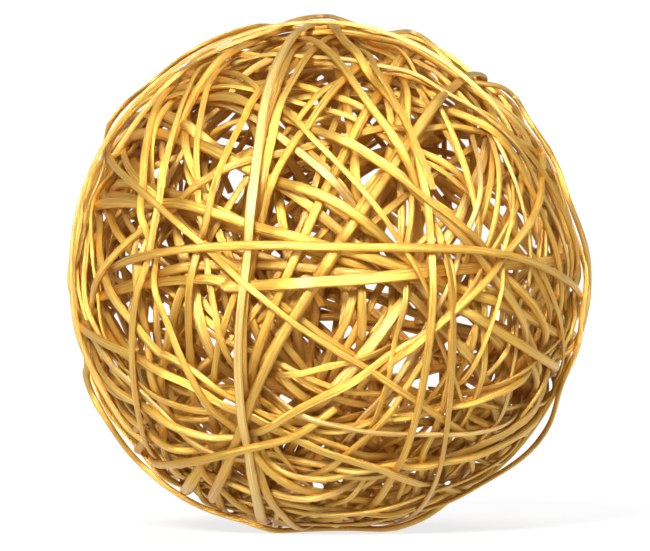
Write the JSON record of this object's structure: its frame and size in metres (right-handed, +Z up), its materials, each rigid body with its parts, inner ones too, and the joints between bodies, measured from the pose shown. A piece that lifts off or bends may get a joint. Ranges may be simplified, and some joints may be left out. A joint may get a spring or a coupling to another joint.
{
  "type": "decorative sphere",
  "caption": "Hollow openwork ball of gold-painted split willow canes bent into hoops and woven through one another at random, with a small flat spot to stand on.",
  "frame": {"origin": "middle of the ball's flat spot, at the bottom centre of its bounding box", "axes": "+Z up, out of the surface it stands on; -Y towards the side that the picture shows"},
  "size_m": [0.1966, 0.2092, 0.1945],
  "materials": {
    "gold_willow": "split willow cane with a satin metallic gold paint"
  },
  "bodies": {
    "root": {"cane_01": "gold_willow", "cane_02": "gold_willow", "cane_03": "gold_willow", "cane_04": "gold_willow", "cane_05": "gold_willow", "cane_06": "gold_willow", "cane_07": "gold_willow", "cane_08": "gold_willow", "cane_09": "gold_willow", "cane_10": "gold_willow", "cane_11": "gold_willow", "cane_12": "gold_willow", "cane_13": "gold_willow", "cane_14": "gold_willow", "cane_15": "gold_willow", "cane_16": "gold_willow", "cane_17": "gold_willow", "cane_18": "gold_willow", "cane_19": "gold_willow", "cane_20": "gold_willow", "cane_21": "gold_willow", "cane_22": "gold_willow", "cane_23": "gold_willow", "cane_24": "gold_willow", "cane_25": "gold_willow", "cane_26": "gold_willow", "cane_27": "gold_willow", "cane_28": "gold_willow", "cane_29": "gold_willow", "cane_30": "gold_willow", "cane_31": "gold_willow", "cane_32": "gold_willow", "cane_33": "gold_willow", "cane_34": "gold_willow", "cane_35": "gold_willow", "cane_36": "gold_willow", "cane_37": "gold_willow", "cane_38": "gold_willow", "cane_39": "gold_willow"}
  },
  "joints": []
}
